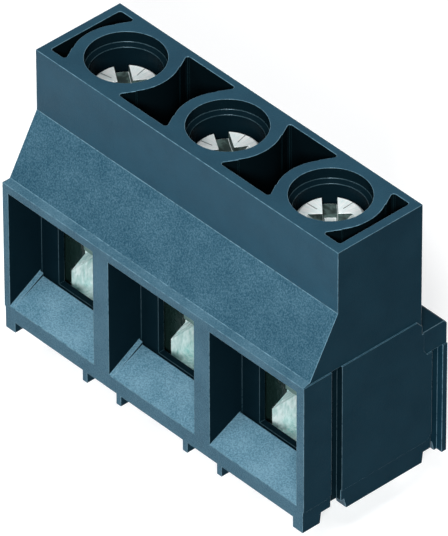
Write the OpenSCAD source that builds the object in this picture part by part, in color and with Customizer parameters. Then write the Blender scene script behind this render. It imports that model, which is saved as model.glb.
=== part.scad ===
// Three-pole screw terminal for a circuit board.
// One moulded housing holds, for each pole, a clamp screw, a steel clamping
// yoke that rises on the screw's thread, and a current bar with two solder pins.
// X runs along the row, Y from the wire side to the back, Z up from the board.
// The origin is the middle of the solder-pin row, on the board's surface.

/* [Row] */
// Distance from one pole to the next
pitch = 12.7; // [12:0.1:16]
// First pole's axis to the left end face
left_end = 6.1; // [5.9:0.1:8]
// Last pole's axis to the right end face
right_end = 6.3; // [5.9:0.1:8]

/* [Wire entry] */
// Width of the square funnel mouth
funnel_w = 10.76; // [9.6:0.02:10.9]
// Depth of the funnel behind the front face
funnel_d = 3.5; // [2.5:0.1:5]
// Height of the funnel's sill above the board
sill_h = 2.6; // [2:0.1:3]
// How far the ramp climbs from the sill to its back edge
ramp_rise = 1.7; // [0.8:0.1:2.2]
// Height of the funnel's ceiling above the board
ceiling_h = 14.85; // [13:0.05:16]
// Poles that have a guide strip along the ramp's left side
strip_poles = [1, 1, 0]; // [0:1:1]
// Width of that strip
strip_w = 0.45; // [0.2:0.05:0.8]
// Height of the strip above the ramp at its back end
strip_rise = 0.35; // [0.1:0.05:0.6]
// Slit behind the ramp's back edge
slit_w = 0.22; // [0.15:0.01:0.5]
// Depth of that slit below the ramp's back edge
slit_h = 1.2; // [0.4:0.1:2]
// Thickness of the inner wall between funnel and yoke chamber
inner_wall = 0.65; // [0.4:0.05:1.2]
// Width of the window through that wall
window_w = 6.4; // [5:0.1:7.4]

/* [Front and top] */
// Front rail above the funnel mouths
top_rail = 0.85; // [0.6:0.05:2]
// Depth of the narrow ledge above the front face
ledge_d = 0.75; // [0.4:0.05:1.2]
// Rise of that ledge towards the sloping shoulder
ledge_rise = 0.17; // [0:0.01:0.4]
// Height of the top block's straight front wall
block_wall_h = 6.4; // [4:0.1:8]
// Front wall of the block in front of the chimneys
front_land = 0.2; // [0.1:0.05:0.6]
// Height of the rear shelf above the board
shelf_h = 14.15; // [12.5:0.05:17]
// Gap between the moulded body and the board
stand_off = 1.1; // [0.6:0.05:1.2]
// Radius of the rear shelf's edge
shelf_r = 0.5; // [0.2:0.1:1]

/* [Chimneys] */
// Diameter of the bore that guides the screw's head
head_bore_d = 6.4; // [6.2:0.1:7]
// Diameter of the wider mouth at the top
mouth_d = 7.14; // [7:0.02:7.6]
// Depth of the straight part of the mouth
mouth_h = 1.05; // [0.5:0.05:2]
// Height of the tapered ledge under the mouth
ledge_taper = 0.35; // [0.2:0.05:0.8]
// Wall round the mouth
chimney_wall = 1.13; // [0.8:0.01:1.6]
// Diameter of the neck that the screw's shank passes through
neck_d = 4.5; // [4.2:0.1:5.4]
// Height of the neck under the screw's head
neck_h = 3.85; // [2:0.05:6]
// Screw head's top below the top face
head_sink = 3; // [2:0.1:5]

/* [Top pockets] */
// Wall in front of the pockets
pocket_front = 0.96; // [0.6:0.02:1.4]
// Wall behind the pockets
pocket_back = 0.7; // [0.5:0.02:1.2]
// Wall at each end of the row
pocket_end = 0.96; // [0.6:0.02:1.1]
// Depth of the pockets
pocket_d = 8.4; // [4:0.1:8.6]
// Chimney axis to the pocket's nearest corners
pocket_x = 3.25; // [3:0.05:3.5]
// Angle from the row's line at which a pocket's short side ends
pocket_turn = 32; // [28:1:36]
// Distance between that end and the chimney's outside
pocket_web = 0.07; // [0.05:0.01:0.2]
// Radius of the pockets' corners
pocket_r = 0.25; // [0.1:0.05:0.4]

/* [Clamp screw] */
// Thread diameter
screw_d = 4; // [3.5:0.1:4.2]
// Thread pitch, which the yoke climbs for each turn
thread_pitch = 0.7; // [0.5:0.05:0.8]
// Turns of the screw from open to closed
turns = 6; // [4:0.5:6]
// Head diameter
head_d = 6.04; // [5:0.02:6.1]
// Head height
head_h = 2.5; // [2:0.1:3.4]
// Edge chamfer of the head
head_chamfer = 0.3; // [0.1:0.05:0.6]
// Width of the screwdriver slot
slot_w = 1.3; // [0.8:0.05:1.6]
// Depth of the slot
slot_d = 0.95; // [0.6:0.05:1.4]
// Width of each wing of the cross recess
cross_w = 0.95; // [0.6:0.05:1.2]
// Span of the cross recess at the top
cross_span = 3.9; // [3:0.1:4.6]
// Depth of the cross recess
cross_d = 1.7; // [1:0.1:2]
// Chamfer of the screw's tip
tip_chamfer = 0.5; // [0.2:0.1:1]
// How far each screw stands above the first one's seat
screw_lifts = [0.1, 0.2, 0.6]; // [0:0.05:0.8]
// Angle of each screw's slot from the X axis
slot_angles = [-33, -31, -41]; // [-90:1:90]

/* [Clamping yoke] */
// Outer width
yoke_w = 8.1; // [7.4:0.1:8.2]
// Depth along the wire
yoke_d = 7.4; // [6.5:0.1:8]
// Thickness of its side walls
yoke_wall = 0.9; // [0.6:0.05:1.1]
// Thickness of its floor
yoke_floor = 1.3; // [0.8:0.1:1.5]
// Height of the floor's underside above the board, fully open
yoke_low = 1.3; // [1.2:0.1:2]
// Height of the straight sides above the floor
side_h = 2.45; // [1.5:0.05:3]
// Height of the sloping shoulders inside
slope_h = 2.95; // [2:0.05:3.2]
// Length of the threaded collar
collar_h = 2.85; // [2:0.05:4]
// Outer radius of the bottom bends
bend_r = 1.6; // [0.9:0.1:1.8]
// Outer radius of the top corners
crown_r = 0.6; // [0.2:0.1:1]

/* [Current bar] */
// Width of the arm that passes through the yoke
arm_w = 2.2; // [1.6:0.1:2.4]
// Height of that arm
arm_h = 2.2; // [1.6:0.1:2.8]
// Open height for the wire between yoke floor and arm
wire_h = 6.15; // [5.5:0.05:6.4]
// How far the arm stands out in front of the yoke
arm_lead = 0.4; // [0.1:0.05:0.6]
// Width of the upright plate behind the yoke
plate_w = 7; // [6:0.1:7.6]
// Thickness of the plate and the pins
plate_t = 1.2; // [0.8:0.1:1.5]
// Height of the plate's lower edge above the board
plate_low = 0.8; // [0.4:0.1:1]
// Distance between the two solder pins of a pole
pin_gap = 5.08; // [4:0.01:5.4]
// Width of a solder pin
pin_w = 1.2; // [0.8:0.1:1.5]
// Length of a solder pin below the board's surface
pin_l = 3.2; // [2.5:0.1:3.5]
// Taper at the tip of a pin
pin_taper = 0.3; // [0.1:0.05:0.4]

/* [End faces] */
// How far the panels stand proud of the end faces
panel_t = 0.12; // [0.05:0.01:0.2]
// Depth of the joining grooves
groove_d = 0.65; // [0.3:0.05:0.7]
// Width of the front groove
front_groove_w = 1.16; // [0.8:0.02:1.4]
// Front face to the front groove
front_groove_y = 3.2; // [2.8:0.05:3.4]
// Width of the rear groove
rear_groove_w = 1.2; // [0.8:0.05:1.4]
// Rear rail behind the rear groove
rear_rail = 0.55; // [0.4:0.05:0.8]
// Height of the rear groove's top above the board
rear_groove_h = 11.65; // [9:0.05:12]
// Height of the panels' lower edge above the board
panel_low = 2.25; // [1.6:0.05:3]
// Cut corners of the panels
panel_cut = 0.6; // [0.2:0.05:1]
// How far the panel under the shelf runs past the block's back
panel_back = 0.2; // [0.1:0.05:0.4]

/* [Feet] */
// Width of the small feet along the front and back
foot_w = 0.6; // [0.4:0.05:1]
// Depth of the feet
foot_d = 2; // [1:0.1:2.4]
// Small foot's middle to the line between two poles
foot_x = 2.15; // [1.5:0.05:2.8]
// Thickness of the feet under the end walls
end_foot_w = 1.35; // [0.8:0.05:1.6]
// Front face to the plinth under an end wall
plinth_y = 5; // [4:0.1:6]
// Length of that plinth
plinth_l = 8.75; // [6:0.05:9.4]
// Depth of the feet along the back
back_foot_d = 0.85; // [0.5:0.05:1.4]
// How far the front of the plinth leans out up to the body
foot_lean = 0.3; // [0:0.05:0.5]

/* [Fits and walls] */
// Clearance on each side of a yoke in its chamber
yoke_side_gap = 0.2; // [0.1:0.05:0.3]
// Clearance between the inner wall and a yoke
yoke_front_gap = 0.75; // [0.65:0.05:1]
// Clearance behind a yoke
yoke_back_gap = 0.15; // [0.1:0.05:0.3]
// Clearance above a fully raised yoke
yoke_top_gap = 0.4; // [0.2:0.05:0.8]
// Clearance round the arm inside the yoke
arm_gap = 0.2; // [0.1:0.05:0.3]
// Radial clearance of the thread
thread_gap = 0.05; // [0.03:0.01:0.08]
// Gap between the screw's tip and the arm
tip_gap = 0.1; // [0.05:0.01:0.3]
// Ribs between a yoke's chamber and the plate behind it
rib_t = 0.35; // [0.3:0.05:0.8]
// Wall behind the plate
back_wall = 2.25; // [1.5:0.05:3]
// Moulded roof over the plate's top edge, at the least
plate_roof = 0.3; // [0.2:0.1:1]
// Walls left round the hollow between two chambers
core_wall = 1.1; // [0.8:0.05:1.5]

/* [Hidden] */
poles = 3;
names = [for (i = [1:poles]) str(i)];
$fn = 96;
over = 1; // how far a cutter runs past the face that it opens
foot_root = 0.1; // how far the feet run up into the body
overlap = 0.01; // how far pieces of one solid run into each other

// Along Y, measured from the front face
slit_y = funnel_d;
wall_y = slit_y + slit_w;
chamber_y = wall_y + inner_wall;
yoke_y = chamber_y + yoke_front_gap;
axis_y = yoke_y + yoke_d / 2;
chamber_back = yoke_y + yoke_d + yoke_back_gap;
plate_y = chamber_back + rib_t;
pin_y = plate_y + plate_t / 2;
body_d = plate_y + plate_t + back_wall;
chimney_r = mouth_d / 2 + chimney_wall;
block_y = axis_y - chimney_r - front_land;
block_back = axis_y + chimney_r;

// Along Z, measured from the board
window_low = yoke_low + yoke_floor;
slope_low = window_low + side_h;
slope_top = slope_low + slope_h;
arm_low = window_low + wire_h;
arm_top = arm_low + arm_h;
collar_low = arm_top + arm_gap;
yoke_top = collar_low + collar_h;
yoke_travel = turns * thread_pitch;
chamber_top = yoke_top + yoke_travel + yoke_top_gap;
head_seat = chamber_top + neck_h;
head_top = head_seat + head_h;
top_h = head_top + head_sink;
lip_h = ceiling_h + top_rail;
shoulder_h = top_h - block_wall_h;
pocket_floor = top_h - pocket_d;
core_top = chamber_top - core_wall;
foot_top = stand_off + foot_root;

// Across one pole
window_hw = yoke_w / 2 - yoke_wall;
arm_hw = arm_w / 2;
chamber_hw = yoke_w / 2 + yoke_side_gap;

row_l = (poles - 1) * pitch;
body_l = left_end + row_l + right_end;

// Puts a pole's own frame, with y from the front face, into the part's frame
module at_pole(i) translate([i * pitch - row_l / 2, -pin_y, 0]) children();

// Extrudes a [y, z] outline along X from x0 over a length
module along_row(x0, length)
    translate([x0, 0, 0]) rotate([90, 0, 90]) linear_extrude(length) children();

// Extrudes an [x, z] outline towards the back from y0 over a depth
module towards_back(y0, depth)
    translate([0, y0 + depth, 0]) rotate([90, 0, 0]) linear_extrude(depth) children();

// A quarter round as points, from one angle to another
function arc(c, r, a0, a1, steps = 8) =
    [for (k = [0:steps]) let (a = a0 + (a1 - a0) * k / steps) [c[0] + r * cos(a), c[1] + r * sin(a)]];

function unit(v) = v / norm(v);

// A polygon's points with each corner rounded to its own radius
function rounded(points, radii, steps = 4) = let (n = len(points)) [
    for (k = [0:n - 1])
        let (p = points[k], r = radii[k], back = unit(points[(k + n - 1) % n] - p),
             ahead = unit(points[(k + 1) % n] - p), half = acos(back * ahead) / 2,
             centre = p + unit(back + ahead) * r / sin(half), reach = r / tan(half))
            each r == 0 ? [p] : [for (j = [0:steps])
                centre + r * unit((p - centre) + reach * (back * (steps - j) + ahead * j) / steps)]
];

// ---- housing ----

// Side outline of the moulded body
function body_outline() = concat(
    [[0, stand_off], [0, lip_h], [ledge_d, lip_h + ledge_rise], [block_y, shoulder_h],
     [block_y, top_h], [block_back, top_h], [block_back, shelf_h]],
    arc([body_d - shelf_r, shelf_h - shelf_r], shelf_r, 90, 0),
    [[body_d, stand_off]]
);

// Outline of a funnel's cut, where its floor rises by a given height
function funnel_outline(rise) = [
    [-over, sill_h], [0, sill_h], [funnel_d, sill_h + rise], [funnel_d, ceiling_h], [-over, ceiling_h]
];

// Wire funnel, the slit behind its ramp, and the window to the yoke
module funnel_cut(strip) {
    x0 = -funnel_w / 2;
    ramp_x = strip ? x0 + strip_w : x0;
    ramp_top = sill_h + ramp_rise;
    along_row(x0, funnel_w) polygon(funnel_outline(ramp_rise + strip_rise));
    along_row(ramp_x, -x0 - ramp_x) polygon(funnel_outline(ramp_rise));
    translate([x0, slit_y - overlap, ramp_top - slit_h])
        cube([funnel_w, slit_w + overlap, ceiling_h - ramp_top + slit_h]);
    translate([-window_w / 2, slit_y, ramp_top])
        cube([window_w, inner_wall + slit_w + over, ceiling_h - ramp_top]);
}

// Chamber that the yoke slides in, open towards the board, and the plate's slot
module chamber_cut() {
    translate([-chamber_hw, chamber_y, -over])
        cube([2 * chamber_hw, chamber_back - chamber_y, chamber_top + over]);
    translate([-plate_w / 2, plate_y, -over]) cube([plate_w, plate_t, arm_top + plate_roof + over]);
    throat_w = plate_w - 2 * rib_t;
    translate([-throat_w / 2, chamber_back - over, -over])
        cube([throat_w, plate_y - chamber_back + 2 * over, arm_top + plate_roof + over]);
}

// Screw bore, from the mouth down to the neck
module screw_cut() {
    translate([0, axis_y, 0]) {
        translate([0, 0, chamber_top - over]) cylinder(d = neck_d, h = neck_h + 2 * over);
        translate([0, 0, head_seat]) cylinder(d = head_bore_d, h = top_h - head_seat);
        translate([0, 0, top_h - mouth_h - ledge_taper])
            cylinder(d1 = head_bore_d, d2 = mouth_d, h = ledge_taper);
        translate([0, 0, top_h - mouth_h]) cylinder(d = mouth_d, h = mouth_h + over);
    }
}

// A top pocket's side next to a chimney, from its front corner to its back corner
function pocket_side() = let (r = chimney_r + pocket_web) [
    [pocket_x, block_y + pocket_front - axis_y], r * [cos(pocket_turn), -sin(pocket_turn)],
    r * [cos(pocket_turn), sin(pocket_turn)], [pocket_x, block_back - pocket_back - axis_y]
];

// Top pocket between a chimney and the end wall whose inner face is at x1
module end_pocket(x1) {
    near = pocket_side();
    outline = concat(near, [[x1, near[3][1]], [x1, near[0][1]]]);
    translate([0, axis_y, pocket_floor]) linear_extrude(pocket_d + over) difference() {
        polygon(rounded(outline, [pocket_r, 0, 0, pocket_r, pocket_r, pocket_r]));
        circle(r = chimney_r);
    }
}

// Top pocket between a chimney and the next one to its right
module mid_pocket() {
    near = pocket_side();
    outline = concat(near, [for (k = [3:-1:0]) [pitch - near[k][0], near[k][1]]]);
    translate([0, axis_y, pocket_floor]) linear_extrude(pocket_d + over) difference() {
        polygon(rounded(outline, [pocket_r, 0, 0, pocket_r, pocket_r, 0, 0, pocket_r]));
        circle(r = chimney_r);
        translate([pitch, 0]) circle(r = chimney_r);
    }
}

// Hollow between two chambers, moulded from below
module core_cut() {
    w = pitch - 2 * (chamber_hw + core_wall);
    y0 = chamber_y + core_wall;
    translate([pitch / 2 - w / 2, y0, -over]) cube([w, chamber_back - y0, core_top + over]);
}

// Raised panels on an end face, as an outline in y and z
module panel_outline() {
    polygon([[-over, panel_low], [front_groove_y - panel_cut, panel_low],
             [front_groove_y, panel_low + panel_cut / 2], [front_groove_y, lip_h], [-over, lip_h]]);
    y0 = front_groove_y + front_groove_w;
    y1 = body_d - rear_rail - rear_groove_w;
    y2 = block_back + panel_back;
    polygon([[y0, panel_low], [y1 - panel_cut, panel_low], [y1, panel_low + panel_cut],
             [y1, rear_groove_h], [y1 - panel_cut, rear_groove_h], [y2, rear_groove_h + panel_cut],
             [y2, shelf_h + panel_cut], [block_back - panel_cut, lip_h], [y0, lip_h]]);
    polygon([[body_d - rear_rail, 0], [body_d + over, 0], [body_d + over, rear_groove_h],
             [body_d - rear_rail, rear_groove_h]]);
}

// What is taken off an end face: the skin round the panels, and the grooves
module end_cut(face_x, side) {
    skin_x = side > 0 ? face_x - panel_t : face_x - over;
    along_row(skin_x, panel_t + over) difference() {
        translate([-over, -over]) square([body_d + 2 * over, top_h + 2 * over]);
        panel_outline();
    }
    groove_x = side > 0 ? face_x - groove_d : face_x - over;
    translate([groove_x, front_groove_y, -over])
        cube([groove_d + over, front_groove_w, lip_h + over]);
    translate([groove_x, body_d - rear_rail - rear_groove_w, -over])
        cube([groove_d + over, rear_groove_w, rear_groove_h + over]);
}

// Feet and plinth under one end wall, flush with the end face
module end_feet(face_x, side) {
    x0 = side > 0 ? face_x - end_foot_w : face_x;
    for (span = [[0, foot_d], [plinth_y, plinth_y + plinth_l], [body_d - back_foot_d, body_d]])
        along_row(x0, end_foot_w)
            polygon([[max(span[0] - foot_lean, 0), foot_top], [span[0], 0],
                     [span[1], 0], [min(span[1] + foot_lean / 2, body_d), foot_top]]);
}

// Pairs of small feet on each side of a line between two poles
module line_feet(x)
    for (dx = [-foot_x, foot_x], span = [[0, foot_d], [body_d - back_foot_d, back_foot_d]])
        translate([x + dx - foot_w / 2, span[0], 0]) cube([foot_w, span[1], foot_top]);

module housing() {
    color([0.13, 0.2, 0.24]) difference() {
        union() {
            at_pole(0) along_row(-left_end, body_l) polygon(body_outline());
            at_pole(0) end_feet(-left_end, -1);
            at_pole(poles - 1) end_feet(right_end, 1);
            for (i = [0:poles - 2]) at_pole(i) line_feet(pitch / 2);
        }
        for (i = [0:poles - 1]) at_pole(i) {
            funnel_cut(strip_poles[i] == 1);
            chamber_cut();
            screw_cut();
        }
        for (i = [0:poles - 2]) at_pole(i) {
            core_cut();
            mid_pocket();
        }
        at_pole(0) {
            mirror([1, 0, 0]) end_pocket(left_end - pocket_end);
            end_cut(-left_end, -1);
        }
        at_pole(poles - 1) {
            end_pocket(right_end - pocket_end);
            end_cut(right_end, 1);
        }
    }
}

// ---- clamp screw ----

// Slot and cross recess, cut from the head's top
module drive_cut() {
    translate([-head_d / 2 - over, -slot_w / 2, head_h - slot_d])
        cube([head_d + 2 * over, slot_w, slot_d + over]);
    for (turn = [0, 90]) rotate([90, 0, turn]) translate([0, 0, -cross_w / 2]) linear_extrude(cross_w)
        polygon([[-cross_span / 2, head_h + overlap], [cross_span / 2, head_h + overlap],
                 [cross_w / 2, head_h - cross_d], [-cross_w / 2, head_h - cross_d]]);
}

// Shank and head, turned about the screw's own axis
module clamp_screw(i) {
    lift = screw_lifts[i];
    seat = head_seat + lift;
    tip = arm_top + tip_gap + lift;
    outline = [[0, tip - seat], [screw_d / 2 - tip_chamfer, tip - seat],
               [screw_d / 2, tip - seat + tip_chamfer], [screw_d / 2, 0], [head_d / 2, 0],
               [head_d / 2, head_h - head_chamfer], [head_d / 2 - head_chamfer, head_h], [0, head_h]];
    color([0.78, 0.8, 0.8]) at_pole(i) translate([0, axis_y, seat]) rotate(slot_angles[i]) difference() {
        rotate_extrude() polygon(outline);
        drive_cut();
    }
}

// ---- clamping yoke ----

// Front outline of the folded yoke
function yoke_outline() = concat(
    arc([yoke_w / 2 - bend_r, yoke_low + bend_r], bend_r, -90, 0),
    arc([yoke_w / 2 - crown_r, yoke_top - crown_r], crown_r, 0, 90),
    arc([-yoke_w / 2 + crown_r, yoke_top - crown_r], crown_r, 90, 180),
    arc([-yoke_w / 2 + bend_r, yoke_low + bend_r], bend_r, 180, 270)
);

// Its window: floor with bent corners, straight sides, slopes, slot for the arm
function yoke_window(r) = concat(
    arc([window_hw - r, window_low + r], r, -90, 0),
    [[window_hw, slope_low], [arm_hw + arm_gap, slope_top], [arm_hw + arm_gap, collar_low],
     [-arm_hw - arm_gap, collar_low], [-arm_hw - arm_gap, slope_top], [-window_hw, slope_low]],
    arc([-window_hw + r, window_low + r], r, 180, 270)
);

module clamping_yoke(i) {
    color([0.72, 0.75, 0.74]) at_pole(i) difference() {
        towards_back(yoke_y, yoke_d) difference() {
            polygon(yoke_outline());
            polygon(yoke_window(bend_r - yoke_wall));
        }
        translate([0, axis_y, slope_low])
            cylinder(d = screw_d + 2 * thread_gap, h = yoke_top - slope_low + over);
    }
}

// ---- current bar ----

// Front view of the plate and its two tapered pins
function plate_outline() = [
    [plate_w / 2, plate_low], [plate_w / 2, arm_top], [-plate_w / 2, arm_top], [-plate_w / 2, plate_low]
];

function pin_outline() = [
    [-pin_w / 2, plate_low + overlap], [-pin_w / 2, -pin_l + pin_taper], [-pin_w / 2 + pin_taper, -pin_l],
    [pin_w / 2 - pin_taper, -pin_l], [pin_w / 2, -pin_l + pin_taper], [pin_w / 2, plate_low + overlap]
];

module current_bar(i) {
    arm_y = yoke_y - arm_lead;
    color([0.8, 0.79, 0.76]) at_pole(i) {
        union() {
            translate([-arm_hw, arm_y, arm_low]) cube([arm_w, plate_y - arm_y + overlap, arm_h]);
            towards_back(plate_y, plate_t) polygon(plate_outline());
            for (side = [-1, 1]) translate([side * pin_gap / 2, 0, 0])
                towards_back(plate_y, plate_t) polygon(pin_outline());
        }
    }
}

housing();
for (i = [0:poles - 1]) {
    clamp_screw(i);
    clamping_yoke(i);
    current_bar(i);
}
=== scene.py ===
from math import cos, hypot, pi, radians, sin, sqrt

import bmesh
import bpy
from mathutils import Matrix, Vector
from mathutils.bvhtree import BVHTree


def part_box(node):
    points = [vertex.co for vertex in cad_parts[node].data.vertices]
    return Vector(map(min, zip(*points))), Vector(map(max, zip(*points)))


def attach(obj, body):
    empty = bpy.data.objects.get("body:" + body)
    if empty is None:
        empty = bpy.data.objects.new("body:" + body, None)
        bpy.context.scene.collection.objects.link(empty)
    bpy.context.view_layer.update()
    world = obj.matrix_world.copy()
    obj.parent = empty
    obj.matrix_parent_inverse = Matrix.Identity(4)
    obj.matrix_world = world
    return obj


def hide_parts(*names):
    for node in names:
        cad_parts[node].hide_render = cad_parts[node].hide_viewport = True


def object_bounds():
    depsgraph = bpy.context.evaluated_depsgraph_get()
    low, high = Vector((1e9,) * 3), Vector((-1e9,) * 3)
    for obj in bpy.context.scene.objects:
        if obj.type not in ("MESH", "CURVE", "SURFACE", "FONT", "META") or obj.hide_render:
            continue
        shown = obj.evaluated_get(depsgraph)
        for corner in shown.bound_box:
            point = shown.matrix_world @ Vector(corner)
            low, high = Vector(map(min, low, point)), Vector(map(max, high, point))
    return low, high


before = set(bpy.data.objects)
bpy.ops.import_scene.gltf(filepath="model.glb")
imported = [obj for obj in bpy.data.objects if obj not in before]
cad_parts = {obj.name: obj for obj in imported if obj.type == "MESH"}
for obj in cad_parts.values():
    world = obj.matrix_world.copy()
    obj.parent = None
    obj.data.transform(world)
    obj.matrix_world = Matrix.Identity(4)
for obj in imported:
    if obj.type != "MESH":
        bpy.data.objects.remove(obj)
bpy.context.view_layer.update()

mm = 0.001
poles = (1, 2, 3)
weldGap = 0.002 * mm      # corners nearer than this are one corner
flatAngle = 0.5           # degrees; triangles within it are one flat face


def newMaterial(name, colour):
    material = bpy.data.materials.new(name)
    material.use_nodes = True
    material.diffuse_color = (*colour, 1.0)
    tree = material.node_tree
    return material, tree, tree.nodes["Principled BSDF"]


def addNode(tree, kind, **settings):
    node = tree.nodes.new(kind)
    for key, value in settings.items():
        setattr(node, key, value)
    return node


def objectPoint(tree, stretch=(1, 1, 1)):
    place = addNode(tree, "ShaderNodeTexCoord")
    mapping = addNode(tree, "ShaderNodeMapping")
    mapping.inputs["Scale"].default_value = stretch
    tree.links.new(place.outputs["Object"], mapping.inputs["Vector"])
    return mapping.outputs["Vector"]


def noiseField(tree, point, size, detail=2.0, rough=0.55):
    # size is the width of one blob, in metres
    noise = addNode(tree, "ShaderNodeTexNoise")
    noise.inputs["Scale"].default_value = 1.0 / size
    noise.inputs["Detail"].default_value = detail
    noise.inputs["Roughness"].default_value = rough
    tree.links.new(point, noise.inputs["Vector"])
    return noise.outputs["Fac"]


def spread(tree, value, low, high, outLow, outHigh):
    ranger = addNode(tree, "ShaderNodeMapRange")
    for key, number in (("From Min", low), ("From Max", high), ("To Min", outLow), ("To Max", outHigh)):
        ranger.inputs[key].default_value = number
    tree.links.new(value, ranger.inputs["Value"])
    return ranger.outputs["Result"]


def combine(tree, operation, a, b=0.0):
    node = addNode(tree, "ShaderNodeMath", operation=operation)
    for socket, value in zip(node.inputs, (a, b)):
        if isinstance(value, (int, float)):
            socket.default_value = value
        else:
            tree.links.new(value, socket)
    return node.outputs["Value"]


def weighted(tree, fields, shares):
    # the sum of two fields, each times its share
    first, second = (combine(tree, "MULTIPLY", field, share) for field, share in zip(fields, shares))
    return combine(tree, "ADD", first, second)


def product(tree, *factors):
    result = factors[0]
    for factor in factors[1:]:
        result = combine(tree, "MULTIPLY", result, factor)
    return result


def seenDirectly(tree):
    # 1 for the camera, mirrors and glass, 0 for the light that falls on the part
    path = addNode(tree, "ShaderNodeLightPath")
    seen = combine(tree, "MAXIMUM", path.outputs["Is Camera Ray"], path.outputs["Is Glossy Ray"])
    return combine(tree, "MAXIMUM", seen, path.outputs["Is Transmission Ray"])


def colourMix(tree, factor, colourA, colourB):
    mix = addNode(tree, "ShaderNodeMix", data_type="RGBA")
    first, second = [s for s in mix.inputs if s.type == "RGBA"]
    for socket, value in ((mix.inputs[0], factor), (first, colourA), (second, colourB)):
        if isinstance(value, tuple):
            socket.default_value = (*value, 1.0)
        elif isinstance(value, float):
            socket.default_value = value
        else:
            tree.links.new(value, socket)
    return [s for s in mix.outputs if s.type == "RGBA"][0]


def bumpNormal(tree, height, distance):
    bump = addNode(tree, "ShaderNodeBump")
    bump.inputs["Distance"].default_value = distance
    tree.links.new(height, bump.inputs["Height"])
    return bump.outputs["Normal"]


def readAttribute(tree, name):
    return addNode(tree, "ShaderNodeAttribute", attribute_name=name).outputs["Fac"]


def poleAxis(pole):
    # the screw's own axis, from the middle of its box
    low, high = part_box(f"clamp_screw_{pole}")
    return (low + high) / 2


axes = {pole: poleAxis(pole) for pole in poles}


def aroundAxis(tree):
    # x and y counted from the nearest screw's axis, with the distance and the turn about it
    place = addNode(tree, "ShaderNodeTexCoord")
    parts = addNode(tree, "ShaderNodeSeparateXYZ")
    tree.links.new(place.outputs["Object"], parts.inputs["Vector"])
    middle = axes[2]
    pitch = axes[3].x - middle.x
    wrap = addNode(tree, "ShaderNodeMath", operation="WRAP")
    tree.links.new(combine(tree, "SUBTRACT", parts.outputs["X"], middle.x), wrap.inputs[0])
    wrap.inputs[1].default_value = pitch / 2
    wrap.inputs[2].default_value = -pitch / 2
    across = wrap.outputs["Value"]
    along = combine(tree, "SUBTRACT", parts.outputs["Y"], middle.y)
    squares = combine(tree, "ADD", product(tree, across, across), product(tree, along, along))
    reach = combine(tree, "SQRT", squares)
    turn = combine(tree, "ARCTAN2", along, across)
    return across, along, reach, turn


plasticLook = {
    "deep": (0.0070, 0.0380, 0.0640),      # smooth polyamide, darker drifts
    "plain": (0.0120, 0.0515, 0.0820),
    "grainDark": (0.055, 0.150, 0.215),    # fully spark-eroded, as on the ramps; the pale end is partly painted light
    "grainPale": (0.190, 0.345, 0.440),
    "hollow": (0.0012, 0.0040, 0.0055),    # painted shade deep inside the funnels, wells and pockets, and on the ends and the back
    "smoothRough": 0.33,
    "grainRough": 0.64,
    "polishRough": 0.15,
    "specular": (0.10, 0.012),             # open faces, and faces half shut off or on the ends
    "specularTint": (0.30, 0.72, 0.95),
    "coarseSwing": 0.085,                  # how far flecks move the grain value on the shoulder
    "specularShut": 0.4,                   # painted-shade value from which the second one holds
    "grainNoise": (0.15 * mm, 4.0, 0.7),   # size, detail and roughness of the noise
    "driftNoise": (3.0 * mm, 3.0, 0.5),
    "fleckRange": (0.40, 0.60), "cloudRange": (0.34, 0.66),
    "smoothShares": (0.7, 0.3), "grainShares": (0.4, 0.6),      # of cloud and fleck
    "roughSwing": 0.04,
    "grainHeight": 0.16 * mm,
    "smoothHeight": 0.020 * mm,
}


def housingPlastic():
    look = plasticLook
    material, tree, shader = newMaterial("mouldedPolyamide", look["plain"])
    point = objectPoint(tree)
    grainAndPaintedLight = readAttribute(tree, "grain")       # 1 on the fully spark-eroded faces; partly real grain, partly painted light that makes faces paler
    hollow = readAttribute(tree, "hollow")      # painted shade: 1 where hardly any sky is seen
    polish = readAttribute(tree, "polish")      # 1 on the turned cores of the wells
    coarse = readAttribute(tree, "coarse")      # 1 on the shoulder, where the flecks stand out most
    grain = noiseField(tree, point, *look["grainNoise"])
    drift = noiseField(tree, point, *look["driftNoise"])
    fleck = spread(tree, grain, *look["fleckRange"], 0.0, 1.0)
    cloud = spread(tree, drift, *look["cloudRange"], 0.0, 1.0)
    smoothTone = weighted(tree, (cloud, fleck), look["smoothShares"])
    smoothColour = colourMix(tree, smoothTone, look["deep"], look["plain"])
    grainTone = weighted(tree, (cloud, fleck), look["grainShares"])
    grainColour = colourMix(tree, grainTone, look["grainDark"], look["grainPale"])
    swing = spread(tree, fleck, 0.0, 1.0, -look["coarseSwing"], look["coarseSwing"])
    share = combine(tree, "ADD", grainAndPaintedLight, product(tree, swing, coarse))
    skin = colourMix(tree, share, smoothColour, grainColour)
    # painted shade: the skin darkens towards a near-black colour where the face is shut off
    tree.links.new(colourMix(tree, hollow, skin, look["hollow"]), shader.inputs["Base Color"])
    rough = spread(tree, grainAndPaintedLight, 0.0, 1.0, look["smoothRough"], look["grainRough"])
    uneven = spread(tree, drift, 0.3, 0.7, -look["roughSwing"], look["roughSwing"])
    rough = combine(tree, "ADD", rough, uneven)
    glossy = product(tree, polish, look["smoothRough"] - look["polishRough"])
    tree.links.new(combine(tree, "SUBTRACT", rough, glossy), shader.inputs["Roughness"])
    specular = spread(tree, hollow, 0.0, look["specularShut"], *look["specular"])
    tree.links.new(specular, shader.inputs["Specular IOR Level"])
    shader.inputs["Specular Tint"].default_value = (*look["specularTint"], 1.0)
    flatShare = look["smoothHeight"] / look["grainHeight"]
    height = product(tree, grain, spread(tree, grainAndPaintedLight, 0.0, 1.0, flatShare, 1.0))
    tree.links.new(bumpNormal(tree, height, look["grainHeight"]), shader.inputs["Normal"])
    return material


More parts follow.
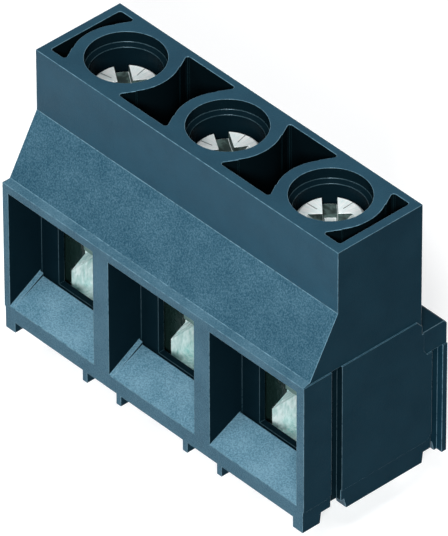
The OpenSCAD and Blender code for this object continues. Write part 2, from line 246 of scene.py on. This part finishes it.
rimLook = {
    "dark": (0.024, 0.076, 0.110),
    # the pale colour is a painted highlight along the edges
    "pale": (0.115, 0.225, 0.290),
    # painted shade on the rims in the hollows
    "hollow": (0.004, 0.014, 0.018),
    "rough": (0.22, 0.38),
    "specular": 0.45,
    "specularTint": (0.62, 0.86, 0.98),
    "edgeBreakupNoise": (0.55 * mm, 3.0, 0.65),
    "highlightRange": (0.30, 0.75), "nickHeight": 0.02 * mm,
    "grainShare": 0.6,           # how pale a rim of a grainy face is at least
}


def rimPlastic():
    # the narrow rounded edges, with a painted highlight that noise breaks up unevenly
    look = rimLook
    material, tree, shader = newMaterial("edgeWithPaintedHighlight", look["dark"])
    edgeBreakup = noiseField(tree, objectPoint(tree), *look["edgeBreakupNoise"])
    # painted highlight along the edges, broken up by noise
    paintedHighlight = spread(tree, edgeBreakup, *look["highlightRange"], 0.0, 1.0)
    grainAndPaintedLight = readAttribute(tree, "grain")
    hollow = readAttribute(tree, "hollow")
    pale = combine(tree, "MAXIMUM", paintedHighlight, product(tree, grainAndPaintedLight, look["grainShare"]))
    colour = colourMix(tree, pale, look["dark"], look["pale"])
    # painted shade on the rims in the hollows
    tree.links.new(colourMix(tree, hollow, colour, look["hollow"]), shader.inputs["Base Color"])
    tree.links.new(spread(tree, edgeBreakup, 0.3, 0.7, *look["rough"]), shader.inputs["Roughness"])
    shader.inputs["Specular IOR Level"].default_value = look["specular"]
    shader.inputs["Specular Tint"].default_value = (*look["specularTint"], 1.0)
    tree.links.new(bumpNormal(tree, edgeBreakup, look["nickHeight"]), shader.inputs["Normal"])
    return material


metalLooks = {
    "yokeZinc": {
        # the yoke's sheared colour is painted shade on its front and back faces
        "dark": (0.30, 0.58, 0.56), "pale": (0.88, 1.00, 1.00), "shearedAndShaded": (0.007, 0.019, 0.017),
        "rough": (0.16, 0.32), "metal": 0.10, "blob": 2.0 * mm,
        "stretch": (1, 1, 0.35), "scratch": 0.30 * mm, "height": 0.060 * mm,
    },
    "barTin": {
        "dark": (0.56, 0.60, 0.57), "pale": (0.78, 0.82, 0.79), "shearedAndShaded": (0.13, 0.22, 0.20),
        "rough": (0.34, 0.48), "metal": 0.8, "blob": 0.8 * mm,
        "stretch": (1, 1, 1), "scratch": 0.10 * mm, "height": 0.012 * mm,
    },
}
toneRange = (0.36, 0.60)      # shares of a noise between which a metal goes from dark to pale


def platedMetal(name):
    look = metalLooks[name]
    material, tree, shader = newMaterial(name, look["pale"])
    blobs = noiseField(tree, objectPoint(tree), look["blob"], 3.0, 0.55)
    lines = noiseField(tree, objectPoint(tree, look["stretch"]), look["scratch"], 2.0, 0.6)
    tone = weighted(tree, (blobs, lines), (0.6, 0.4))
    colour = colourMix(tree, spread(tree, tone, *toneRange, 0.0, 1.0), look["dark"], look["pale"])
    # front and back faces: darker sheared edges, and on the yokes painted shade
    colour = colourMix(tree, readAttribute(tree, "shearedAndShaded"), colour, look["shearedAndShaded"])
    tree.links.new(colour, shader.inputs["Base Color"])
    shader.inputs["Metallic"].default_value = look["metal"]
    tree.links.new(spread(tree, blobs, 0.3, 0.7, *look["rough"]), shader.inputs["Roughness"])
    tree.links.new(bumpNormal(tree, lines, look["height"]), shader.inputs["Normal"])
    return material


screwLook = {
    "dark": (0.74, 0.89, 0.89), "pale": (0.97, 1.00, 1.00),
    "recess": (0.012, 0.034, 0.030), "recessPale": (0.16, 0.27, 0.25),   # painted shade in the slot, lighter in random patches
    "rough": (0.34, 0.48),
    "metal": 0.25,
    "streaks": 16.0,                       # noise cells across one radian of the turned face
    "streakDrift": 500.0,                  # noise cells per metre along the radius
    "streakHeight": 0.010 * mm,
    "axisGap": 0.05 * mm,                  # keeps the direction defined on the axis itself
    "blob": 0.7 * mm, "shadeRange": (0.44, 0.66),
    "tickWidth": 0.045 * mm, "tickFrom": 1.55 * mm, "tickTo": 2.70 * mm, "tickShare": 0.75,
}


def screwMetal():
    # turned head: streaks run out from the axis, with a thin line at 45 degrees between the cross arms
    look = screwLook
    material, tree, shader = newMaterial("screwZinc", look["pale"])
    across, along, reach, turn = aroundAxis(tree)
    ray = addNode(tree, "ShaderNodeCombineXYZ")
    for key, part in (("X", across), ("Y", along)):
        unit = combine(tree, "DIVIDE", part, combine(tree, "MAXIMUM", reach, look["axisGap"]))
        tree.links.new(product(tree, unit, look["streaks"]), ray.inputs[key])
    tree.links.new(product(tree, reach, look["streakDrift"]), ray.inputs["Z"])
    streak = noiseField(tree, ray.outputs["Vector"], 1.0, 3.0, 0.6)
    blobs = noiseField(tree, objectPoint(tree), look["blob"], 2.0, 0.5)
    tone = weighted(tree, (streak, blobs), (0.7, 0.3))
    colour = colourMix(tree, spread(tree, tone, *toneRange, 0.0, 1.0), look["dark"], look["pale"])
    ownTurn = readAttribute(tree, "headTurn")
    diagonal = combine(tree, "SUBTRACT", combine(tree, "SUBTRACT", turn, ownTurn), pi / 4)
    apart = product(tree, combine(tree, "PINGPONG", diagonal, pi / 4), reach)
    tick = product(tree, combine(tree, "LESS_THAN", apart, look["tickWidth"]),
                   combine(tree, "GREATER_THAN", reach, look["tickFrom"]),
                   combine(tree, "LESS_THAN", reach, look["tickTo"]), readAttribute(tree, "headTop"))
    colour = colourMix(tree, product(tree, tick, look["tickShare"]), colour, look["recess"])
    shadeTone = spread(tree, blobs, *look["shadeRange"], 0.0, 1.0)
    shade = colourMix(tree, shadeTone, look["recess"], look["recessPale"])
    # painted shade in the slot and the cross recess
    colour = colourMix(tree, readAttribute(tree, "recess"), colour, shade)
    tree.links.new(colour, shader.inputs["Base Color"])
    shader.inputs["Metallic"].default_value = look["metal"]
    tree.links.new(spread(tree, streak, 0.3, 0.7, *look["rough"]), shader.inputs["Roughness"])
    tree.links.new(bumpNormal(tree, streak, look["streakHeight"]), shader.inputs["Normal"])
    return material


plastic = housingPlastic()
rims = rimPlastic()
metals = {name: platedMetal(name) for name in metalLooks}
metals["screwZinc"] = screwMetal()
# the edge material carries a painted highlight
print("materials: moulded plastic, edges with a painted highlight and three platings")


def mergedCopy(node):
    # the CAD node's triangles, joined into flat faces with real edges between them
    work = bmesh.new()
    work.from_mesh(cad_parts[node].data)
    bmesh.ops.remove_doubles(work, verts=work.verts, dist=weldGap)
    bmesh.ops.dissolve_limit(work, angle_limit=radians(flatAngle), verts=work.verts, edges=work.edges)
    return work


def markSharp(work, angle):
    for face in work.faces:
        face.smooth = True
    for edge in work.edges:
        edge.smooth = len(edge.link_faces) == 2 and edge.calc_face_angle(0.0) < angle


def finishedPiece(work, name, materials, bevel):
    mesh = bpy.data.meshes.new(name)
    work.to_mesh(mesh)
    work.free()
    piece = bpy.data.objects.new(name, mesh)
    bpy.context.scene.collection.objects.link(piece)
    for material in materials:
        mesh.materials.append(material)
    rounding = piece.modifiers.new("rounding", "BEVEL")
    rounding.width = bevel["width"]
    rounding.segments = bevel["segments"]
    rounding.limit_method = "WEIGHT"
    rounding.use_clamp_overlap = False
    rounding.harden_normals = True
    rounding.miter_outer = "MITER_SHARP"      # with arcs the large flat faces fill their own openings
    rounding.material = bevel["material"]
    applyModifiers(piece)
    return piece


def handOver(piece, node, body):
    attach(piece, body)
    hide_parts(node)


def applyModifiers(piece):
    graph = bpy.context.evaluated_depsgraph_get()
    baked = bpy.data.meshes.new_from_object(piece.evaluated_get(graph), preserve_all_data_layers=True,
                                            depsgraph=graph)
    piece.modifiers.clear()
    old = piece.data
    piece.data = baked
    bpy.data.meshes.remove(old)
    baked.name = piece.name


housingLook = {
    "rounding": {"width": 0.045 * mm, "segments": 2, "material": 1},     # rims are the second material
    "sharpFrom": 28,            # degrees between two faces that make an edge
    "narrowFace": 0.30 * mm,    # edges beside a face narrower than this are rounded less
    "leastWeight": 0.12,
}


def faceReach(edge, face):
    # how far the face runs away from the edge, measured at the edge's middle
    middle = (edge.verts[0].co + edge.verts[1].co) / 2
    along = (edge.verts[1].co - edge.verts[0].co).normalized()
    inward = face.normal.cross(along)
    if inward.dot(face.calc_center_median() - middle) < 0:
        inward = -inward
    reach = [abs((v.co - middle).dot(inward)) for v in face.verts if v not in edge.verts]
    return max(reach, default=0.0)


def roundEdges(work, look):
    weight = work.edges.layers.float.new("bevel_weight_edge")
    count = 0
    for edge in work.edges:
        if len(edge.link_faces) != 2 or edge.calc_face_angle(0.0) < radians(look["sharpFrom"]):
            continue
        reach = min(faceReach(edge, face) for face in edge.link_faces)
        edge[weight] = min(1.0, max(look["leastWeight"], reach / look["narrowFace"]))
        count += 1
    return count


goldenTurn = 2.399963      # radians; spreads the rays evenly


def opennessRays(count):
    # directions about +Z, denser near it, in a fixed order
    rays = []
    for step in range(count):
        lean = sqrt((step + 0.5) / count)
        turn = step * goldenTurn
        rays.append(Vector((lean * cos(turn), lean * sin(turn), sqrt(1 - lean * lean))))
    return rays


def hollowShare(tree, rays, centre, normal, reach):
    # how much of a face's own half of the sky is shut off by the housing
    lift = normal.to_track_quat("Z", "Y")
    start = centre + normal * surfaceLook["rayLift"]
    shut = sum(1 for ray in rays if tree.ray_cast(start, lift @ ray, reach)[0] is not None)
    return shut / len(rays)


surfaceLook = {
    "rays": 28, "rayReach": 22 * mm, "rayLift": 0.03 * mm,
    "hollowFrom": 0.42, "hollowFull": 0.86,    # shares of the sky shut off, where the painted shade starts and where it is full
    # grain shares: real spark-eroded grain, and painted light that makes the ramps, shoulder, front and
    # ledge paler
    "rampGrainAndLight": 0.85, "shoulderGrainAndLight": 0.17, "frontGrainAndLight": 0.21, "ledgeGrainAndLight": 0.40,
    # painted shade at the back of the mouths and in the wells; endShade paints shade on the ends and the
    # back
    "mouthBackShade": 0.88, "wellShade": 0.92, "endShade": 0.60,
    # distances back from the front plane
    "frontSkin": 0.1 * mm, "mouthSkin": 0.3 * mm, "ledgeDepth": 1.5 * mm, "rampDepth": 3.6 * mm,
    "mouthDepth": 5.0 * mm,
    # heights, and distances from the top, the back and a screw's axis
    "mouthLow": 2.2 * mm, "ledgeLow": 14 * mm, "mouthTop": 14.9 * mm, "shoulderLow": 15 * mm,
    "wellFloor": 18.5 * mm, "topSkin": 0.02 * mm, "shelfDepth": 3 * mm, "wellReach": 3.7 * mm,
}


def housingSurface(centre, normal, shut, low, high):
    # the grain share (partly painted light), the painted shade, and the polish and coarse values of one
    # face
    look = surfaceLook
    near = min(hypot(centre.x - axis.x, centre.y - axis.y) for axis in axes.values())
    hollow = (shut - look["hollowFrom"]) / (look["hollowFull"] - look["hollowFrom"])
    hollow = min(1.0, max(0.0, hollow))
    fromFront = centre.y - low.y
    upwards = normal.z > 0.9
    if near < look["wellReach"] and look["wellFloor"] < centre.z < high.z - look["topSkin"]:
        # the wells get painted shade
        return 0.0, max(hollow, look["wellShade"]), float(abs(normal.z) < 0.5), 0.0
    if fromFront < look["mouthDepth"] and centre.z < look["mouthTop"]:
        # the ramps: grain, and painted light that makes them paler
        if normal.z > 0.3 and shut > 0.3 and fromFront < look["rampDepth"]:
            return look["rampGrainAndLight"], 0.0, 0.0, 0.0
        if fromFront > look["mouthSkin"] and centre.z > look["mouthLow"] and shut > 0.15:
            # the back of each mouth gets painted shade
            return 0.0, look["mouthBackShade"], 0.0, 0.0
    if normal.y < -0.2 and 0.1 < normal.z < 0.97 and centre.z > look["shoulderLow"]:
        return look["shoulderGrainAndLight"], 0.0, 0.0, 1.0
    if fromFront < look["frontSkin"] and normal.y < -0.9:
        return look["frontGrainAndLight"], 0.0, 0.0, 0.0
    if fromFront < look["ledgeDepth"] and upwards and centre.z > look["ledgeLow"]:
        return look["ledgeGrainAndLight"], 0.0, 0.0, 0.0
    shelf = upwards and centre.y > high.y - look["shelfDepth"]
    if abs(normal.x) > 0.9 or normal.y > 0.9 or shelf:
        return 0.0, max(hollow, look["endShade"]), 0.0, 0.0       # the ends, the back and the rear shelf are smooth, and get painted shade
    return 0.0, hollow, 0.0, 0.0


def faceLayers(piece, keys):
    # all are added first, because adding one can move those before it
    for key in keys:
        piece.data.attributes.new(key, "FLOAT", "FACE")
    return [piece.data.attributes[key].data for key in keys]


def tagHousing(piece):
    low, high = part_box("housing")
    work = bmesh.new()
    work.from_mesh(piece.data)
    sky = BVHTree.FromBMesh(work)
    work.free()
    rays = opennessRays(surfaceLook["rays"])
    layers = faceLayers(piece, ("grain", "hollow", "polish", "coarse"))
    for face in piece.data.polygons:
        shut = hollowShare(sky, rays, face.center, face.normal, surfaceLook["rayReach"])
        for layer, value in zip(layers, housingSurface(face.center, face.normal, shut, low, high)):
            layer[face.index].value = value


def makeHousing():
    look = housingLook
    work = mergedCopy("housing")
    markSharp(work, radians(look["sharpFrom"]))
    count = roundEdges(work, look)
    piece = finishedPiece(work, "housingShell", (plastic, rims), look["rounding"])
    tagHousing(piece)
    handOver(piece, "housing", "housing")
    print("housing: rounded", count, "edges,", len(piece.data.polygons), "faces")


makeHousing()


metalLook = {
    "rounding": {"width": 0.05 * mm, "segments": 2, "material": -1},     # as the faces beside it
    "sharpFrom": 28,
    "narrowFace": 0.2 * mm,
    "leastWeight": 0.12,
}


def roundedMetal(work, name, material):
    markSharp(work, radians(metalLook["sharpFrom"]))
    roundEdges(work, metalLook)
    return finishedPiece(work, name, (material,), metalLook["rounding"])


def tagShearedAndShaded(piece, above):
    # the strips' front and back faces: sheared edges drawn darker than their plated sides, on the yokes
    # near black as painted shade
    shearedAndShaded, = faceLayers(piece, ("shearedAndShaded",))
    for face in piece.data.polygons:
        shearedAndShaded[face.index].value = float(abs(face.normal.y) > 0.9 and face.center.z > above)


threadLook = {
    "pitch": 0.7 * mm,
    "coreRadius": 1.62 * mm,
    "crestRadius": 1.99 * mm,
    "rootWidth": 0.56 * mm,
    "crestWidth": 0.10 * mm,
    "stepsPerTurn": 40,
    "tipGap": 0.62 * mm,        # plain length left at the tip
    "neckGap": 0.55 * mm,       # plain length left under the head
    "sink": 0.04 * mm,          # how far the ridge reaches into the core
}


def threadTree():
    # a ridge swept along a helix, joined to the screw that comes in
    tree = bpy.data.node_groups.new("threadRidge", "GeometryNodeTree")
    tree.interface.new_socket("Geometry", in_out="INPUT", socket_type="NodeSocketGeometry")
    sockets = [(name, "NodeSocketFloat") for name in ("Turns", "Height", "Radius", "Root Width",
                                                      "Crest Width", "Depth")]
    sockets += [("Place", "NodeSocketVector"), ("Steps", "NodeSocketInt"), ("Metal", "NodeSocketMaterial")]
    for name, kind in sockets:
        tree.interface.new_socket(name, in_out="INPUT", socket_type=kind)
    tree.interface.new_socket("Geometry", in_out="OUTPUT", socket_type="NodeSocketGeometry")
    sizes = addNode(tree, "NodeGroupInput").outputs
    helix = addNode(tree, "GeometryNodeCurveSpiral")
    profile = addNode(tree, "GeometryNodeCurvePrimitiveQuadrilateral", mode="TRAPEZOID")
    turned = addNode(tree, "GeometryNodeTransform")      # lays the profile's height away from the axis
    turned.inputs["Rotation"].default_value = (0, 0, pi / 2)
    sweep = addNode(tree, "GeometryNodeCurveToMesh")
    normals = addNode(tree, "GeometryNodeSetCurveNormal", mode="Z_UP")
    place = addNode(tree, "GeometryNodeTransform")
    join = addNode(tree, "GeometryNodeJoinGeometry")
    real = addNode(tree, "GeometryNodeRealizeInstances")
    metal = addNode(tree, "GeometryNodeSetMaterial")
    out = addNode(tree, "NodeGroupOutput")
    for source, target in (
            (sizes["Turns"], helix.inputs["Rotations"]), (sizes["Height"], helix.inputs["Height"]),
            (sizes["Radius"], helix.inputs["Start Radius"]), (sizes["Radius"], helix.inputs["End Radius"]),
            (sizes["Steps"], helix.inputs["Resolution"]),
            (sizes["Root Width"], profile.inputs["Bottom Width"]),
            (sizes["Crest Width"], profile.inputs["Top Width"]), (sizes["Depth"], profile.inputs["Height"]),
            (helix.outputs[0], normals.inputs[0]), (normals.outputs[0], sweep.inputs["Curve"]),
            (profile.outputs[0], turned.inputs[0]), (turned.outputs[0], sweep.inputs["Profile Curve"]),
            (sweep.outputs[0], place.inputs[0]),
            (sizes["Place"], place.inputs["Translation"]), (place.outputs[0], join.inputs[0]),
            (sizes["Geometry"], join.inputs[0]), (join.outputs[0], real.inputs[0]),
            (real.outputs[0], metal.inputs[0]), (sizes["Metal"], metal.inputs["Material"]),
            (metal.outputs[0], out.inputs[0])):
        tree.links.new(source, target)
    sweep.inputs["Fill Caps"].default_value = True
    profile.inputs["Offset"].default_value = 0.0
    return tree


def addThread(piece, tree, axis, low, high):
    look = threadLook
    turns = (high - low) / look["pitch"]
    depth = look["crestRadius"] - look["coreRadius"] + look["sink"]
    values = {"Turns": turns, "Height": high - low, "Radius": look["crestRadius"] - depth / 2,
              "Root Width": look["rootWidth"], "Crest Width": look["crestWidth"], "Depth": depth,
              "Place": (axis.x, axis.y, low), "Steps": look["stepsPerTurn"], "Metal": metals["screwZinc"]}
    ridge = piece.modifiers.new("thread", "NODES")
    ridge.node_group = tree
    for item in tree.interface.items_tree:
        if item.in_out == "INPUT" and item.name in values:
            ridge[item.identifier] = values[item.name]
    applyModifiers(piece)


screwShape = {
    "slotAngles": (-33, -31, -41),
    "shankRadius": 2.0 * mm,
    "headRadius": 2.5 * mm,         # anything further out belongs to the head
    "shankEnds": 0.01 * mm, "onAxis": 0.1 * mm, "shankSlack": 0.05 * mm,
    "topSkin": 0.03 * mm,           # faces within it of the top are the head's top
    "recessFrom": 0.06 * mm, "recessTo": 1.8 * mm, "recessReach": 2.95 * mm,
    "lipTilt": (0.25, 0.97),        # rounded lips in the recess catch the light
    "lipShade": 0.10, "recessShade": 0.96,
}


def tagScrew(piece, axis, top, angle):
    look = screwShape
    headTurn, headTop, recess = faceLayers(piece, ("headTurn", "headTop", "recess"))
    for face in piece.data.polygons:
        reach = hypot(face.center.x - axis.x, face.center.y - axis.y)
        below = top - face.center.z
        headTurn[face.index].value = radians(angle)
        headTop[face.index].value = float(below < look["topSkin"])
        # painted shade in the slot and the recess, less on the lips
        if look["recessFrom"] < below < look["recessTo"] and reach < look["recessReach"]:
            lip = look["lipTilt"][0] < face.normal.z < look["lipTilt"][1]
            recess[face.index].value = look["lipShade"] if lip else look["recessShade"]


def makeScrew(pole, tree):
    # the shank is slimmed to the thread's core, and the ridge is laid around it
    look = screwShape
    name = f"clamp_screw_{pole}"
    axis = axes[pole]
    low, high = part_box(name)
    work = mergedCopy(name)
    outwards = {vert: Vector((vert.co.x - axis.x, vert.co.y - axis.y, 0)) for vert in work.verts}
    seat = min(vert.co.z for vert, out in outwards.items() if out.length > look["headRadius"])
    for vert, out in outwards.items():
        onShank = look["onAxis"] < out.length < look["shankRadius"] + look["shankSlack"]
        if onShank and vert.co.z < seat + look["shankEnds"]:
            vert.co -= out * (1 - threadLook["coreRadius"] / look["shankRadius"])
    piece = roundedMetal(work, f"clampScrew{pole}", metals["screwZinc"])
    addThread(piece, tree, axis, low.z + threadLook["tipGap"], seat - threadLook["neckGap"])
    tagScrew(piece, axis, high.z, look["slotAngles"][pole - 1])
    handOver(piece, name, f"screw_{pole}")
    return len(piece.data.polygons)


pinTop = 4 * mm      # the pins, below this height, have no darker edges


def makeStrip(node, name, metal, darkFrom, body):
    piece = roundedMetal(mergedCopy(node), name, metals[metal])
    tagShearedAndShaded(piece, darkFrom)
    handOver(piece, node, body)


ridgeTree = threadTree()
for pole in poles:
    screwFaces = makeScrew(pole, ridgeTree)
    makeStrip(f"clamping_yoke_{pole}", f"clampingYoke{pole}", "yokeZinc", 0, f"yoke_{pole}")
    makeStrip(f"current_bar_{pole}", f"currentBar{pole}", "barTin", pinTop, "housing")
print("screws, yokes and bars made, with", screwFaces, "faces on the last screw")


cameraLook = {
    "azimuth": 47.70, "elevation": 38.65, "roll": -0.19,   # degrees
    "distance": 918.1 * mm,
    "lens": 729.6, "sensor": 36, "farthest": 10,
    "aimFromMiddle": (0.15 * mm, -0.235 * mm, -0.575 * mm),  # beside the middle of the housing's box
    "slide": (0.103 * mm, -0.127 * mm),                      # to the right and upwards
}


def makeCamera():
    look = cameraLook
    turn, tilt, roll = (radians(look[key]) for key in ("azimuth", "elevation", "roll"))
    back = Vector((sin(turn) * cos(tilt), -cos(turn) * cos(tilt), sin(tilt)))
    right = Vector((cos(turn), sin(turn), 0))
    up = back.cross(right)
    rolledRight = right * cos(roll) + up * sin(roll)
    rolledUp = -right * sin(roll) + up * cos(roll)
    low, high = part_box("housing")
    aim = (low + high) / 2 + Vector(look["aimFromMiddle"])
    place = aim + back * look["distance"] + rolledRight * look["slide"][0] + rolledUp * look["slide"][1]
    data = bpy.data.cameras.new("camera")
    data.lens = look["lens"]
    data.sensor_width = look["sensor"]
    data.sensor_fit = "AUTO"
    data.clip_end = look["farthest"]
    camera = bpy.data.objects.new("camera", data)
    turned = Matrix((rolledRight, rolledUp, back)).transposed().to_4x4()
    camera.matrix_world = Matrix.Translation(place) @ turned
    bpy.context.scene.collection.objects.link(camera)
    bpy.context.scene.camera = camera


makeCamera()


studioLook = {
    "floorSize": 4.0,
    "floorColour": (0.66, 0.67, 0.68), "floorRough": 0.9,
    "floorGlow": 0.48,           # added for the camera and for mirrors only
    "worldFill": 0.12,           # what falls on the part; seen directly, the world is white
    "lamps": (
        # name, place in metres, width in metres, power in watts
        ("keyLamp", (-0.49, -1.20, 1.25), 0.6, 9.5),
        ("overheadLamp", (0.35, -0.45, 1.50), 0.5, 10.0),
        ("sideLamp", (0.92, -0.95, 0.75), 0.3, 24.5),      # reaches into the funnels
        ("backLamp", (-0.5, 1.1, 1.2), 0.8, 4.0),
    ),
}


def makeFloor():
    low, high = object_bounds()
    half = studioLook["floorSize"] / 2
    mesh = bpy.data.meshes.new("floor")
    corners = [(x * half, y * half, low[2]) for x, y in ((-1, -1), (1, -1), (1, 1), (-1, 1))]
    mesh.from_pydata(corners, [], [(0, 1, 2, 3)])
    floor = bpy.data.objects.new("floor", mesh)
    bpy.context.scene.collection.objects.link(floor)
    material, tree, shader = newMaterial("paleFloor", studioLook["floorColour"])
    shader.inputs["Base Color"].default_value = (*studioLook["floorColour"], 1.0)
    shader.inputs["Roughness"].default_value = studioLook["floorRough"]
    shader.inputs["Specular IOR Level"].default_value = 0.0
    shader.inputs["Emission Color"].default_value = (1, 1, 1, 1)
    glow = product(tree, seenDirectly(tree), studioLook["floorGlow"])
    tree.links.new(glow, shader.inputs["Emission Strength"])
    mesh.materials.append(material)


def makeWorld():
    world = bpy.data.worlds.new("studio")
    bpy.context.scene.world = world
    world.use_nodes = True
    tree = world.node_tree
    background = tree.nodes["Background"]
    background.inputs["Color"].default_value = (1, 1, 1, 1)
    strength = spread(tree, seenDirectly(tree), 0.0, 1.0, studioLook["worldFill"], 1.0)
    tree.links.new(strength, background.inputs["Strength"])


def makeLamps():
    low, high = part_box("housing")
    middle = (low + high) / 2
    for name, place, size, power in studioLook["lamps"]:
        data = bpy.data.lights.new(name, "AREA")
        data.shape = "SQUARE"
        data.size = size
        data.energy = power
        lamp = bpy.data.objects.new(name, data)
        lamp.location = place
        lamp.rotation_euler = (middle - Vector(place)).to_track_quat("-Z", "Y").to_euler()
        bpy.context.scene.collection.objects.link(lamp)


makeFloor()
makeWorld()
makeLamps()
bpy.context.scene.view_settings.view_transform = "Standard"
print("camera, floor and lamps set")
